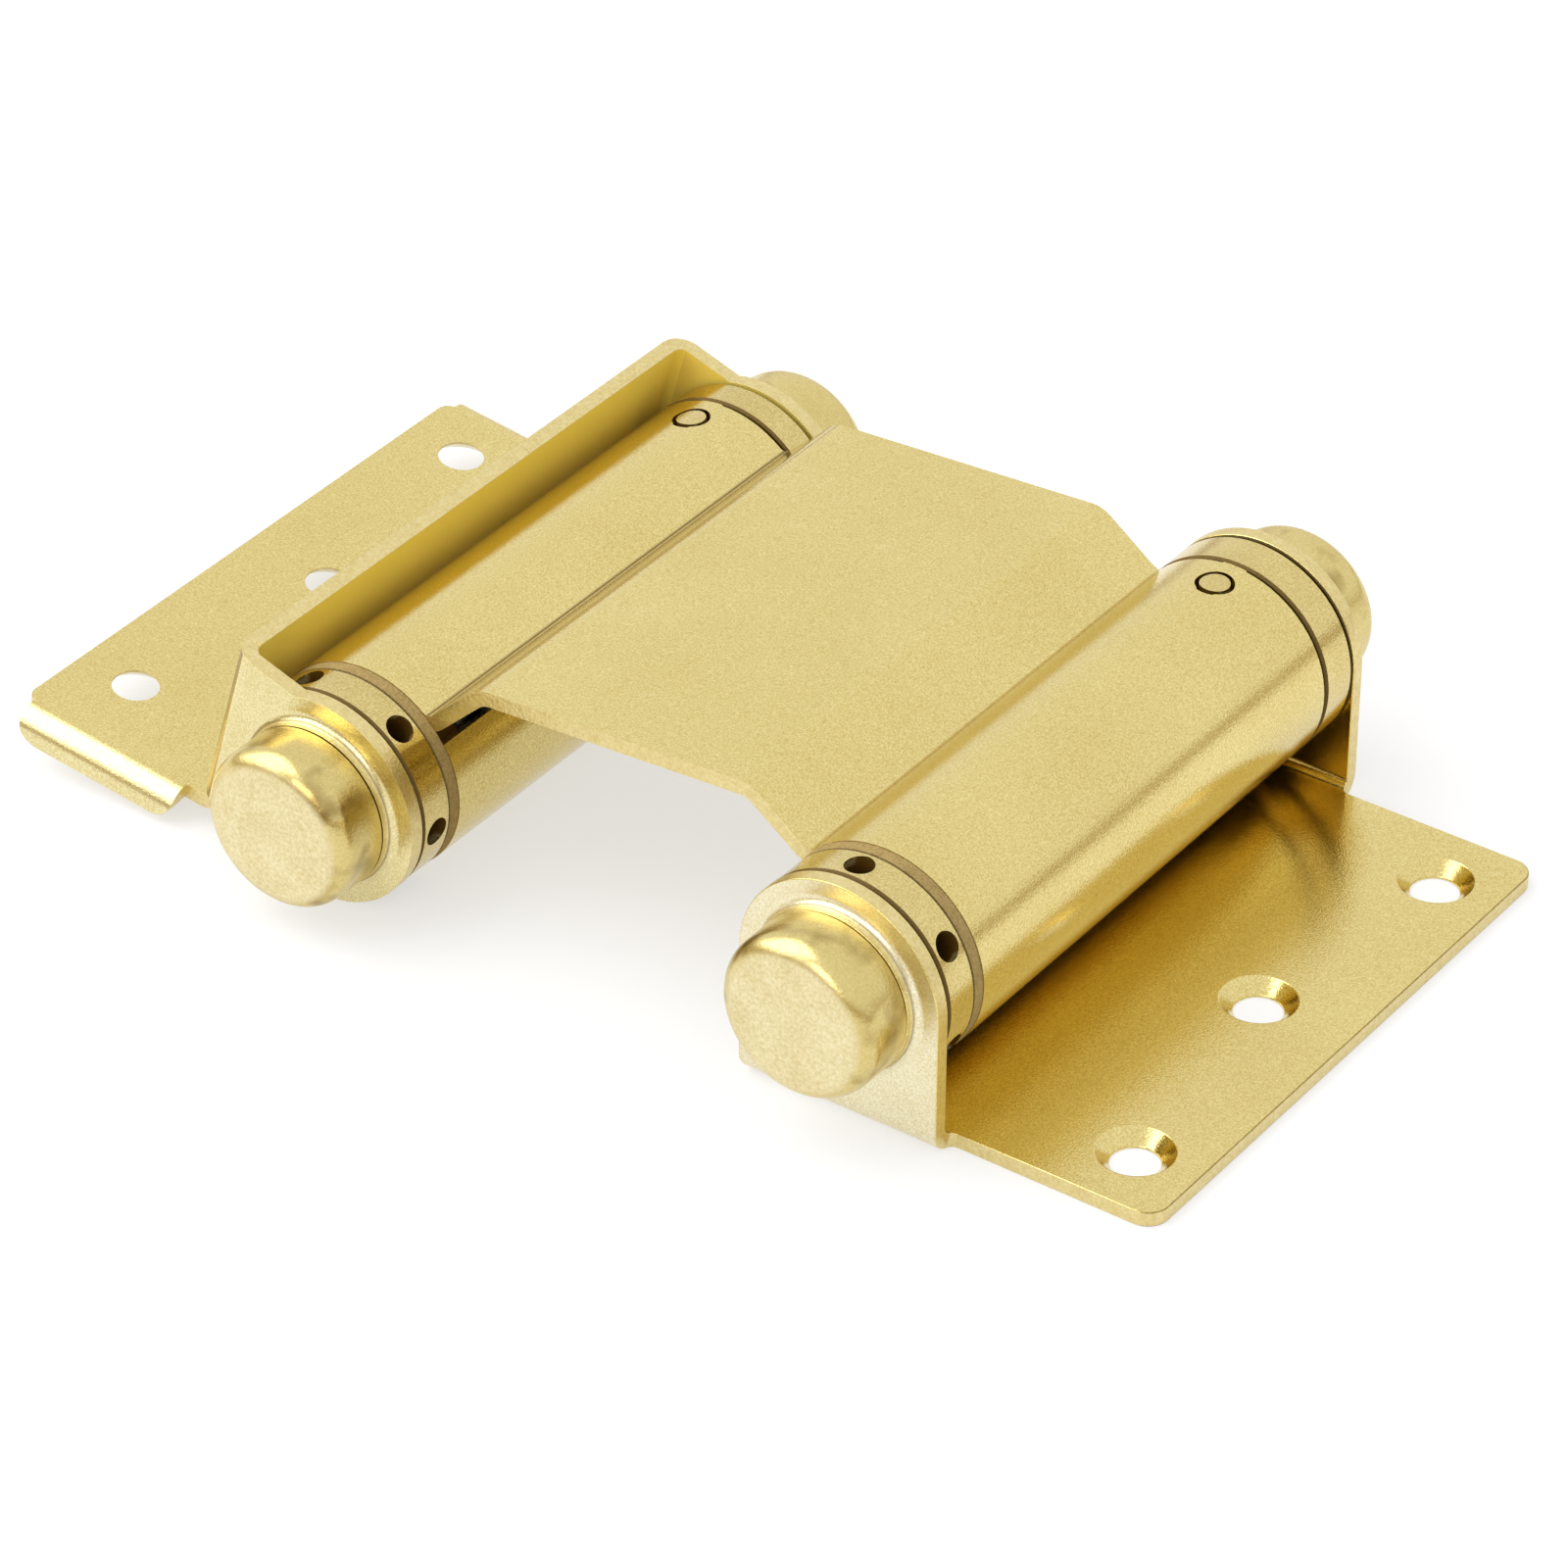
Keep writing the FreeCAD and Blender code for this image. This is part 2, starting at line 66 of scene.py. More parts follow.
# Sheet pieces; edges round the pins' holes and inside the barrels' rear ends stay sharp
sheet_thickness = 1.8 * millimetre
sheet_reach = 1.3 * sheet_thickness
edge_soften = 0.16 * millimetre
edge_segments = 2
joint_soften = 0.22 * millimetre
crease_angle = math.radians(28)
smooth_angle = math.radians(50)
flat_angle = math.radians(0.2)
weld_distance = 0.001 * millimetre
same_place = 0.002 * millimetre

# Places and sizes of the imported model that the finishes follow
joint_places = {joint["name"]: Vector(joint["pos_m"]) for joint in frame["joints"]}
frame_axis = joint_places["frame_hinge"]
door_axis = joint_places["door_hinge"]
barrel_radius = 12.4 * millimetre
ear_inner_y = 39.1 * millimetre
ear_bend = 1.2 * millimetre
ear_skin = 0.05 * millimetre
rear_ear_tuck = 1.0 * millimetre
# Wall of the door leaf, by which its ochre and its ears' brown folds, both painted shade, are placed
wall_turn = math.radians(15.6)
wall_inner = -13.3 * millimetre
wall_band = 0.9 * millimetre
# Lines along the centre plate's valley and bend, which carry painted shade
valley_line = Vector((-88.55, 0, 21.95)) * millimetre
bend_line = Vector((-82.3, 0, 27.4)) * millimetre
pin_y = 29.1 * millimetre
pin_hole_reach = 2.2 * millimetre
barrel_top_reach = 3.6 * millimetre
frame_screws = ((0, -29.6 * millimetre), (-3.8 * millimetre, 0), (0, 29.6 * millimetre))
countersink_reach = 5 * millimetre
# Radius round which the ears' outer faces carry painted shade at the caps' seats
cap_seat_radius = 9.85 * millimetre

# A face looks along Y where its normal's share along Y is over this
along_y = 0.9

# Finish numbers of the sheet pieces' faces; the dark joints, the ochre inside the door leaf and the brown of its
# ear folds are painted shade, and the paler cream outside the ears is painted highlight
plated, sheared_cut, shaded_joint, arris, lit_cream, ear_inner, shaded_ochre_wall, shaded_ochre_ear, fold_shade = range(9)

# Finishes, as colours in linear light
gold_pale = (0.92, 0.79, 0.38, 1)
gold_deep = (0.55, 0.41, 0.10, 1)
turned_pale = (0.90, 0.76, 0.36, 1)
turned_deep = (0.46, 0.33, 0.08, 1)
# Paler cream of the ears' outer faces: painted highlight on the plating
lit_cream_pale = (0.98, 0.95, 0.76, 1)
lit_cream_deep = (0.68, 0.56, 0.26, 1)
# Brown of the door leaf's ear folds: painted shade
fold_shade_pale = (0.50, 0.37, 0.12, 1)
fold_shade_deep = (0.26, 0.17, 0.05, 1)
# Paler cream of the door leaf's outer ear faces: painted highlight on the plating
leaf_lit_pale = (0.92, 0.84, 0.50, 1)
leaf_lit_deep = (0.60, 0.48, 0.18, 1)
# Paler cream of the caps' end faces: painted highlight on the plating
cap_lit_pale = (0.94, 0.86, 0.58, 1)
cap_lit_deep = (0.62, 0.49, 0.19, 1)
cap_side_pale = (0.80, 0.67, 0.30, 1)
cap_side_deep = (0.58, 0.45, 0.15, 1)
# Brown of random blotches on the caps' sides
blotch_brown = (0.24, 0.15, 0.03, 1)
# Flat ochre inside the door leaf's wall: painted shade of the plating
shaded_ochre_pale = (0.92, 0.73, 0.14, 1)
shaded_ochre_deep = (0.84, 0.65, 0.10, 1)
sheared_pale = (0.88, 0.77, 0.40, 1)
sheared_deep = (0.62, 0.47, 0.17, 1)
# Flat ochre inside the door leaf's rear ear: painted shade of the plating
shaded_ochre_ear_pale = (0.80, 0.63, 0.13, 1)
shaded_ochre_ear_deep = (0.70, 0.53, 0.09, 1)
arris_pale = (0.54, 0.41, 0.14, 1)
arris_deep = (0.26, 0.16, 0.04, 1)
# Dark brown of the painted shade in joints, holes, round the caps' seats and along bends
shade_brown = (0.085, 0.042, 0.006, 1)
fibre_pale = (0.46, 0.34, 0.14, 1)
fibre_dark = (0.20, 0.13, 0.04, 1)
steel_pale = (0.56, 0.55, 0.53, 1)
steel_dark = (0.30, 0.29, 0.28, 1)
oiled_pale = (0.20, 0.19, 0.18, 1)
oiled_dark = (0.07, 0.065, 0.06, 1)

# Colour of the studio from the horizon, where the room is dim and brown, up to the white above
room_brown = (0.52, 0.41, 0.23, 1)
studio_white = (1.0, 1.0, 1.0, 1)
sky_stops = ((0.0, room_brown), (0.13, room_brown), (0.19, studio_white), (1.0, studio_white))
horizon_lean = (0.0, 0.1, 1.0)
bench_whiteness = 0.6
soft_boxes = (
    ("window", (-0.75, -0.42, 0.87), 1.25, 11.0),
    ("front", (0.05, -1.05, 0.56), 0.5, 1.8),
)


def add_node(tree, kind, **settings):
    """Add a shader node; a setting is one of its properties, or the value of the input so named."""
    node = tree.nodes.new(kind)
    for name, value in settings.items():
        if hasattr(node, name):
            setattr(node, name, value)
        else:
            node.inputs[name.replace("_", " ")].default_value = value
    return node


def new_group(name, inputs, outputs):
    """Empty shader node group with the named sockets; returns its tree, input node and output node."""
    tree = bpy.data.node_groups.new(name, "ShaderNodeTree")
    for label, kind, value in inputs:
        socket = tree.interface.new_socket(label, in_out="INPUT", socket_type="NodeSocket" + kind)
        if value is not None:
            socket.default_value = value
    for label, kind in outputs:
        tree.interface.new_socket(label, in_out="OUTPUT", socket_type="NodeSocket" + kind)
    return tree, tree.nodes.new("NodeGroupInput"), tree.nodes.new("NodeGroupOutput")


def speckle_group():
    """Sandy satin of plating: faint clouds and fine grain in the colour, and a height for the bump."""
    inputs = [
        ("Vector", "Vector", None),
        ("Pale", "Color", gold_pale),
        ("Deep", "Color", gold_deep),
        ("Cloud Scale", "Float", 60.0),
        ("Grain Scale", "Float", 3200.0),
        ("Grain Amount", "Float", 0.6),
        ("Roughness Low", "Float", 0.25),
        ("Roughness High", "Float", 0.4),
    ]
    outputs = [("Color", "Color"), ("Roughness", "Float"), ("Height", "Float")]
    tree, given, result = new_group("plating_speckle", inputs, outputs)
    cloud = add_node(tree, "ShaderNodeTexNoise", Detail=3.0, Roughness=0.5)
    grain = add_node(tree, "ShaderNodeTexNoise", Detail=1.0, Roughness=0.6)
    spread = add_node(tree, "ShaderNodeMapRange", From_Min=0.25, From_Max=0.75)
    mask = add_node(tree, "ShaderNodeMix", data_type="FLOAT")
    colour = add_node(tree, "ShaderNodeMix", data_type="RGBA")
    rough = add_node(tree, "ShaderNodeMapRange", clamp=False)
    link = tree.links.new
    link(given.outputs["Vector"], cloud.inputs["Vector"])
    link(given.outputs["Cloud Scale"], cloud.inputs["Scale"])
    link(given.outputs["Vector"], grain.inputs["Vector"])
    link(given.outputs["Grain Scale"], grain.inputs["Scale"])
    link(grain.outputs["Fac"], spread.inputs["Value"])
    link(given.outputs["Grain Amount"], mask.inputs["Factor"])
    link(cloud.outputs["Fac"], mask.inputs["A"])
    link(spread.outputs["Result"], mask.inputs["B"])
    link(mask.outputs["Result"], colour.inputs["Factor"])
    link(given.outputs["Pale"], colour.inputs["A"])
    link(given.outputs["Deep"], colour.inputs["B"])
    link(cloud.outputs["Fac"], rough.inputs["Value"])
    link(given.outputs["Roughness Low"], rough.inputs["To Min"])
    link(given.outputs["Roughness High"], rough.inputs["To Max"])
    link(colour.outputs["Result"], result.inputs["Color"])
    link(rough.outputs["Result"], result.inputs["Roughness"])
    link(grain.outputs["Fac"], result.inputs["Height"])
    return tree


def shade_group():
    """Painted shade: dark brown inside a radius round an axis along Y, and by choice on faces that look along Y,
    for the shade in joints, holes, round the caps' seats and along bends.
    """
    inputs = [
        ("Vector", "Vector", None),
        ("Normal", "Vector", None),
        ("Axis", "Vector", None),
        ("Radius", "Float", 0.012),
        ("Depth", "Float", 0.0002),
        ("Ends", "Float", 0.0),
        ("Color", "Color", gold_pale),
    ]
    tree, given, result = new_group("joint_shade_mask", inputs, [("Color", "Color"), ("Unshaded", "Float")])
    offset = add_node(tree, "ShaderNodeVectorMath", operation="SUBTRACT")
    flat = add_node(tree, "ShaderNodeVectorMath", operation="MULTIPLY")
    reach = add_node(tree, "ShaderNodeVectorMath", operation="LENGTH")
    past = add_node(tree, "ShaderNodeMath", operation="SUBTRACT")
    deepest = add_node(tree, "ShaderNodeMath", operation="MULTIPLY")
    unshaded = add_node(tree, "ShaderNodeMapRange", From_Max=0.05 * millimetre)
    facing = add_node(tree, "ShaderNodeSeparateXYZ")
    along = add_node(tree, "ShaderNodeMath", operation="ABSOLUTE")
    side = add_node(tree, "ShaderNodeMapRange", From_Min=0.5, From_Max=0.8)
    ends = add_node(tree, "ShaderNodeMath", operation="MULTIPLY")
    bare = add_node(tree, "ShaderNodeMath", operation="SUBTRACT")
    both = add_node(tree, "ShaderNodeMath", operation="MULTIPLY")
    colour = add_node(tree, "ShaderNodeMix", data_type="RGBA")
    flat.inputs[1].default_value = (1, 0, 1)
    bare.inputs[0].default_value = 1.0
    deepest.inputs[1].default_value = -1.0
    colour.inputs["A"].default_value = shade_brown
    link = tree.links.new
    link(given.outputs["Vector"], offset.inputs[0])
    link(given.outputs["Axis"], offset.inputs[1])
    link(offset.outputs["Vector"], flat.inputs[0])
    link(flat.outputs["Vector"], reach.inputs[0])
    link(reach.outputs["Value"], past.inputs[0])
    link(given.outputs["Radius"], past.inputs[1])
    link(past.outputs["Value"], unshaded.inputs["Value"])
    link(given.outputs["Depth"], deepest.inputs[0])
    link(deepest.outputs["Value"], unshaded.inputs["From Min"])
    link(given.outputs["Normal"], facing.inputs["Vector"])
    link(facing.outputs["Y"], along.inputs[0])
    link(along.outputs["Value"], side.inputs["Value"])
    link(side.outputs["Result"], ends.inputs[0])
    link(given.outputs["Ends"], ends.inputs[1])
    link(ends.outputs["Value"], bare.inputs[1])
    link(bare.outputs["Value"], both.inputs[0])
    link(unshaded.outputs["Result"], both.inputs[1])
    link(both.outputs["Value"], colour.inputs["Factor"])
    link(given.outputs["Color"], colour.inputs["B"])
    link(colour.outputs["Result"], result.inputs["Color"])
    link(both.outputs["Value"], result.inputs["Unshaded"])
    return tree


def new_material(name):
    """Material with a bare Principled shader; returns it, its tree, shader and texture coordinates."""
    material = bpy.data.materials.new(name)
    material.use_nodes = True
    tree = material.node_tree
    return material, tree, tree.nodes["Principled BSDF"], tree.nodes.new("ShaderNodeTexCoord")


def add_speckle(tree, source, pale, deep, scales, grain_amount, roughness):
    """Speckle group placed in a material, with its values."""
    effect = add_node(tree, "ShaderNodeGroup", node_tree=speckle)
    effect.inputs["Pale"].default_value = pale
    effect.inputs["Deep"].default_value = deep
    effect.inputs["Cloud Scale"].default_value = scales[0]
    effect.inputs["Grain Scale"].default_value = scales[1]
    effect.inputs["Grain Amount"].default_value = grain_amount
    effect.inputs["Roughness Low"].default_value = roughness[0]
    effect.inputs["Roughness High"].default_value = roughness[1]
    tree.links.new(source.outputs["Object"], effect.inputs["Vector"])
    return effect


def add_painted_shade(tree, source, colour, axis, radius, depth, ends):
    """Painted shade group placed in a material over the given colour."""
    cover = add_node(tree, "ShaderNodeGroup", node_tree=painted_shade)
    cover.inputs["Axis"].default_value = axis
    cover.inputs["Radius"].default_value = radius
    cover.inputs["Depth"].default_value = depth
    cover.inputs["Ends"].default_value = ends
    tree.links.new(source.outputs["Object"], cover.inputs["Vector"])
    tree.links.new(source.outputs["Normal"], cover.inputs["Normal"])
    tree.links.new(colour, cover.inputs["Color"])
    return cover


def speckled(name, pale, deep, scales, grain_amount, roughness, bump, metallic=1.0, shade_places=()):
    """Material of the speckle group, with painted shade at each place listed for it."""
    material, tree, shader, source = new_material(name)
    effect = add_speckle(tree, source, pale, deep, scales, grain_amount, roughness)
    relief = add_node(tree, "ShaderNodeBump", Strength=bump, Distance=0.05 * millimetre)
    shader.inputs["Metallic"].default_value = metallic
    shader.inputs["Specular IOR Level"].default_value = 0.05
    colour = effect.outputs["Color"]
    unshaded = None
    for place in shade_places:
        cover = add_painted_shade(tree, source, colour, *place)
        colour = cover.outputs["Color"]
        if unshaded is None:
            unshaded = cover.outputs["Unshaded"]
        else:
            both = add_node(tree, "ShaderNodeMath", operation="MULTIPLY")
            tree.links.new(unshaded, both.inputs[0])
            tree.links.new(cover.outputs["Unshaded"], both.inputs[1])
            unshaded = both.outputs["Value"]
        tree.links.new(unshaded, shader.inputs["Metallic"])
    tree.links.new(colour, shader.inputs["Base Color"])
    tree.links.new(effect.outputs["Roughness"], shader.inputs["Roughness"])
    tree.links.new(effect.outputs["Height"], relief.inputs["Height"])
    tree.links.new(relief.outputs["Normal"], shader.inputs["Normal"])
    return material


def cap_material():
    """Pressed cap: sandy end face in a paler cream, a painted highlight, and a smoother golden side with random
    brown blotches and shallow dents.
    """
    material, tree, shader, source = new_material("plated_cap")
    face = add_speckle(tree, source, cap_lit_pale, cap_lit_deep, (260, 2600), 0.5, (0.3, 0.4))
    side = add_speckle(tree, source, cap_side_pale, cap_side_deep, (150, 3600), 0.5, (0.2, 0.3))
    # End faces, those facing along Y, get the paler cream, a painted highlight
    facing = add_node(tree, "ShaderNodeSeparateXYZ")
    along = add_node(tree, "ShaderNodeMath", operation="ABSOLUTE")
    end_face = add_node(tree, "ShaderNodeMapRange", From_Min=0.8, From_Max=0.97)
    blotch = add_node(tree, "ShaderNodeTexNoise", Scale=190.0, Detail=2.0, Roughness=0.5)
    blotched = add_node(tree, "ShaderNodeMapRange", From_Min=0.54, From_Max=0.74, To_Max=0.8)
    brown = add_node(tree, "ShaderNodeMix", data_type="RGBA")
    colour = add_node(tree, "ShaderNodeMix", data_type="RGBA")
    rough = add_node(tree, "ShaderNodeMix", data_type="FLOAT")
    dents = add_node(tree, "ShaderNodeTexNoise", Scale=230.0, Detail=1.0, Roughness=0.4)
    dented = add_node(tree, "ShaderNodeBump", Strength=0.4, Distance=0.5 * millimetre)
    relief = add_node(tree, "ShaderNodeBump", Strength=0.4, Distance=0.05 * millimetre)
    brown.inputs["B"].default_value = blotch_brown
    shader.inputs["Metallic"].default_value = 1.0
    link = tree.links.new
    link(source.outputs["Normal"], facing.inputs["Vector"])
    link(facing.outputs["Y"], along.inputs[0])
    link(along.outputs["Value"], end_face.inputs["Value"])
    link(source.outputs["Object"], blotch.inputs["Vector"])
    link(blotch.outputs["Fac"], blotched.inputs["Value"])
    link(blotched.outputs["Result"], brown.inputs["Factor"])
    link(side.outputs["Color"], brown.inputs["A"])
    link(end_face.outputs["Result"], colour.inputs["Factor"])
    link(brown.outputs["Result"], colour.inputs["A"])
    link(face.outputs["Color"], colour.inputs["B"])
    link(end_face.outputs["Result"], rough.inputs["Factor"])
    link(side.outputs["Roughness"], rough.inputs["A"])
    link(face.outputs["Roughness"], rough.inputs["B"])
    link(source.outputs["Object"], dents.inputs["Vector"])
    link(dents.outputs["Fac"], dented.inputs["Height"])
    link(face.outputs["Height"], relief.inputs["Height"])
    link(dented.outputs["Normal"], relief.inputs["Normal"])
    link(colour.outputs["Result"], shader.inputs["Base Color"])
    link(rough.outputs["Result"], shader.inputs["Roughness"])
    link(relief.outputs["Normal"], shader.inputs["Normal"])
    return material


def select_only(piece):
    """Deselect everything, then select this piece and make it active."""
    bpy.ops.object.select_all(action="DESELECT")
    piece.select_set(True)
    bpy.context.view_layer.objects.active = piece


def apply_modifier(piece, kind, **settings):
    """Add a modifier with these settings and apply it."""
    select_only(piece)
    modifier = piece.modifiers.new(kind.lower(), kind)
    for name, value in settings.items():
        setattr(modifier, name, value)
    bpy.ops.object.modifier_apply(modifier=modifier.name)


def surface_tree(mesh):
    """Search tree over a mesh's faces."""
    return BVHTree.FromPolygons([v.co for v in mesh.vertices], [p.vertices for p in mesh.polygons])


def mark_finishes(mesh, choose):
    """Give each face its finish; choose gets its place, its normal and whether it is a sheared edge."""
    tree = surface_tree(mesh)
    skin = 0.02 * millimetre
    for face in mesh.polygons:
        hit = tree.ray_cast(face.center - face.normal * skin, -face.normal, sheet_reach)
        face.material_index = choose(face.center, face.normal, hit[0] is None)


def soften_edges(piece, wanted, width, segments, material):
    """Bevel the creases that are wanted, given the faces at both sides; the bevel gets this finish."""
    mesh = piece.data
    sides = {}
    for face in mesh.polygons:
        for key in face.edge_keys:
            sides.setdefault(key, []).append(face)
    if "bevel_weight_edge" not in mesh.attributes:
        mesh.attributes.new("bevel_weight_edge", "FLOAT", "EDGE")
    weight = mesh.attributes["bevel_weight_edge"]
    for edge in mesh.edges:
        faces = sides[edge.key]
        crease = len(faces) == 2 and faces[0].normal.angle(faces[1].normal) > crease_angle
        weight.data[edge.index].value = 1.0 if crease and wanted(*faces) else 0.0
    apply_modifier(piece, "BEVEL", width=width, segments=segments, limit_method="WEIGHT",
                   use_clamp_overlap=True, material=material)


def axis_distance(place, axis):
    """Distance from a barrel's axis."""
    return math.hypot(place.x - axis.x, place.z - axis.z)


def nearest_axis(place):
    """Axis of the barrel that a place belongs to."""
    return min((frame_axis, door_axis), key=lambda axis: axis_distance(place, axis))


def is_barrel_end(face):
    """Whether a face is the rear end of a barrel, dark brown as painted shade."""
    return face.material_index == shaded_joint and face.normal.y > along_y


def at_barrel_end(first, second):
    """Whether an edge lies between a barrel's rear end, dark brown as painted shade, and the outside of the
    barrel.
    """
    outside = second if is_barrel_end(first) else first
    spoke = outside.center - nearest_axis(outside.center)
    outward = outside.normal.x * spoke.x + outside.normal.z * spoke.z
    return is_barrel_end(first) != is_barrel_end(second) and outward > 0


def away_from_shade(first, second):
    """Whether neither face at an edge is in the joints' painted shade; those edges stay sharp."""
    return first.material_index != shaded_joint and second.material_index != shaded_joint


def near_countersink(place):
    """Whether a place is in or beside a countersink of the frame leaf."""
    return min(math.hypot(place.x - x, place.y - y) for x, y in frame_screws) < countersink_reach


def plate_fine_arrises(mesh):
    """Plate the softened edges of the ears and the countersinks; the arrises of the rest stay brown."""
    for face in mesh.polygons:
        on_ear = abs(face.center.y) > ear_inner_y - ear_bend
        if face.material_index == arris and (on_ear or near_countersink(face.center)):
            face.material_index = plated


def take_normals(piece, source):
    """Shade the piece as the solid model is; the middle of each softened edge keeps its own shading."""
    solid = source.data
    tree = surface_tree(solid)
    shading = [corner.vector.copy() for corner in solid.corner_normals]
    mesh = piece.data
    normals = [corner.vector.copy() for corner in mesh.corner_normals]
    for face in mesh.polygons:
        for corner in face.loop_indices:
            place = mesh.vertices[mesh.loops[corner].vertex_index].co
            near = tree.find_nearest_range(place, same_place)
            if near:
                index = max(near, key=lambda hit: hit[1].dot(face.normal))[2]
                found = solid.polygons[index]
                outline = [solid.vertices[v].co for v in found.vertices]
                weights = poly_3d_calc(outline, place)
                blend = [shading[c] * weight for c, weight in zip(found.loop_indices, weights)]
                normals[corner] = sum(blend, Vector()).normalized()
    mesh.normals_split_custom_set(normals)


def merged_copy(node, name, materials):
    """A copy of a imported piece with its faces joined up, in these materials."""
    piece = bpy.data.objects.new(name, frame["nodes"][node].data.copy())
    bpy.context.scene.collection.objects.link(piece)
    piece.data.materials.clear()
    for material in materials:
        piece.data.materials.append(material)
    select_only(piece)
    bpy.ops.mesh.customdata_custom_splitnormals_clear()
    bpy.ops.object.mode_set(mode="EDIT")
    bpy.ops.mesh.select_all(action="SELECT")
    bpy.ops.mesh.remove_doubles(threshold=weld_distance)
    bpy.ops.object.mode_set(mode="OBJECT")
    return piece


def sheet_piece(node, name, materials, choose):
    """A softened copy of a folded sheet, each of its faces in its own finish."""
    source = frame["nodes"][node]
    piece = merged_copy(node, name, materials)
    mark_finishes(piece.data, choose)
    bpy.ops.object.mode_set(mode="EDIT")
    bpy.ops.mesh.select_all(action="SELECT")
    bpy.ops.mesh.dissolve_limited(angle_limit=flat_angle, delimit={"MATERIAL"})
    bpy.ops.object.mode_set(mode="OBJECT")
    # The barrels' rear ends and their softened edges are dark brown, painted shade in the joints
    soften_edges(piece, at_barrel_end, joint_soften, 1, shaded_joint)
    soften_edges(piece, away_from_shade, edge_soften, edge_segments, arris)
    plate_fine_arrises(piece.data)
    select_only(piece)
    bpy.ops.object.shade_smooth_by_angle(angle=smooth_angle)
    take_normals(piece, source)
    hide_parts(node)
    return piece


def wound_spring(node, name):
    """A copy of a torsion spring in oiled steel, smooth shaded; the imported spring is hidden."""
    piece = merged_copy(node, name, (oiled_spring,))
    bpy.ops.object.shade_smooth_by_angle(angle=smooth_angle)
    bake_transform(piece)
    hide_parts(node)


def pin_hole_wall(place):
    """Whether a place is on the wall of a plug pin's hole, in the top of a barrel."""
    axis = nearest_axis(place)
    on_top = abs(place.x - axis.x) < barrel_top_reach and place.z > axis.z
    return on_top and abs(place.y - pin_y) < pin_hole_reach


def centre_finish(place, normal, sheared):
    """Finish of a face of the rolled centre plate: plated, sheared, or painted shade in the joints."""
    if not sheared:
        return plated
    in_barrel = axis_distance(place, nearest_axis(place)) < barrel_radius
    # The barrels' rear ends and the pins' hole walls are dark brown, painted shade
    if in_barrel and (normal.y > along_y or pin_hole_wall(place)):
        return shaded_joint
    return sheared_cut


def on_ear_inside(place, normal):
    """Whether a face is the inner face of an ear, the tucked one too."""
    return abs(place.y) > ear_inner_y - rear_ear_tuck - ear_skin and abs(normal.y) > along_y


def frame_leaf_finish(place, normal, sheared):
    """Finish of a face of the frame leaf: plated, sheared, a paler cream outside the ears as painted highlight,
    and plated with painted shade round the barrel inside them.
    """
    if sheared:
        return sheared_cut
    # Outside the ears the plating is a paler cream, a painted highlight
    if abs(place.y) > ear_inner_y + ear_skin:
        return lit_cream
    # Inside the ears the plating carries painted shade round the barrel
    return ear_inner if on_ear_inside(place, normal) else plated


def door_leaf_finish(place, normal, sheared):
    """Finish of a face of the door leaf, whose wall and rear ear are a flat ochre inside, painted shade of the
    plating; outside its ears it is a paler cream, painted highlight, with brown folds, painted shade.
    """
    if sheared:
        return sheared_cut
    facing = normal.x * math.cos(wall_turn) - normal.z * math.sin(wall_turn)
    # Outside the ears the plating is a paler cream, a painted highlight, and the ears' folds are brown, painted
    # shade
    if abs(place.y) > ear_inner_y + ear_skin:
        return fold_shade if -0.985 < facing < -0.5 and abs(normal.y) > 0.1 else lit_cream
    # Inside the ears: the front one plated with painted shade round the barrel, the rear one flat ochre, painted
    # shade
    if on_ear_inside(place, normal):
        return ear_inner if place.y < 0 else shaded_ochre_ear
    # Inside the wall a band of flat ochre, painted shade of the plating
    spoke = place - door_axis
    across = spoke.x * math.cos(wall_turn) - spoke.z * math.sin(wall_turn)
    return shaded_ochre_wall if facing > 0.2 and abs(across - wall_inner) < wall_band else plated


def build_camera():
    """Camera at the photograph's viewing angle."""
    data = bpy.data.cameras.new("camera")
    data.lens = focal_length
    data.sensor_width = sensor_width
    data.clip_end = 20
    camera = bpy.data.objects.new("camera", data)
    bpy.context.scene.collection.objects.link(camera)
    turn = Matrix.Rotation(view_azimuth, 4, "Z") @ Matrix.Rotation(math.pi / 2 - view_elevation, 4, "X")
    turn = turn @ Matrix.Rotation(view_roll, 4, "Z")
    back = turn @ Vector((0, 0, view_distance, 0))
    camera.matrix_world = Matrix.Translation(view_target + back.to_3d()) @ turn
    bpy.context.scene.camera = camera


def build_floor():
    """White bench that keeps a light shadow; the camera and the metal see it nearly white."""
    bpy.ops.object.select_all(action="DESELECT")
    bpy.ops.mesh.primitive_plane_add(size=6, location=(0, 0, -0.05 * millimetre))
    floor = bpy.context.object
    floor.name = "bench"
    material, tree, shader = new_material("bench_white")[:3]
    shader.inputs["Base Color"].default_value = (0.9, 0.9, 0.9, 1)
    shader.inputs["Roughness"].default_value = 0.9
    shader.inputs["Specular IOR Level"].default_value = 0.1
    white = add_node(tree, "ShaderNodeEmission", Color=(1, 1, 1, 1), Strength=1.0)
    path = tree.nodes.new("ShaderNodeLightPath")
    seen = add_node(tree, "ShaderNodeMath", operation="MAXIMUM")
    share = add_node(tree, "ShaderNodeMath", operation="MULTIPLY")
    mix = tree.nodes.new("ShaderNodeMixShader")
    share.inputs[1].default_value = bench_whiteness
    link = tree.links.new
    link(path.outputs["Is Camera Ray"], seen.inputs[0])
    link(path.outputs["Is Glossy Ray"], seen.inputs[1])
    link(seen.outputs["Value"], share.inputs[0])
    link(share.outputs["Value"], mix.inputs["Fac"])
    link(shader.outputs["BSDF"], mix.inputs[1])
    link(white.outputs["Emission"], mix.inputs[2])
    link(mix.outputs["Shader"], tree.nodes["Material Output"].inputs["Surface"])
    floor.data.materials.append(material)


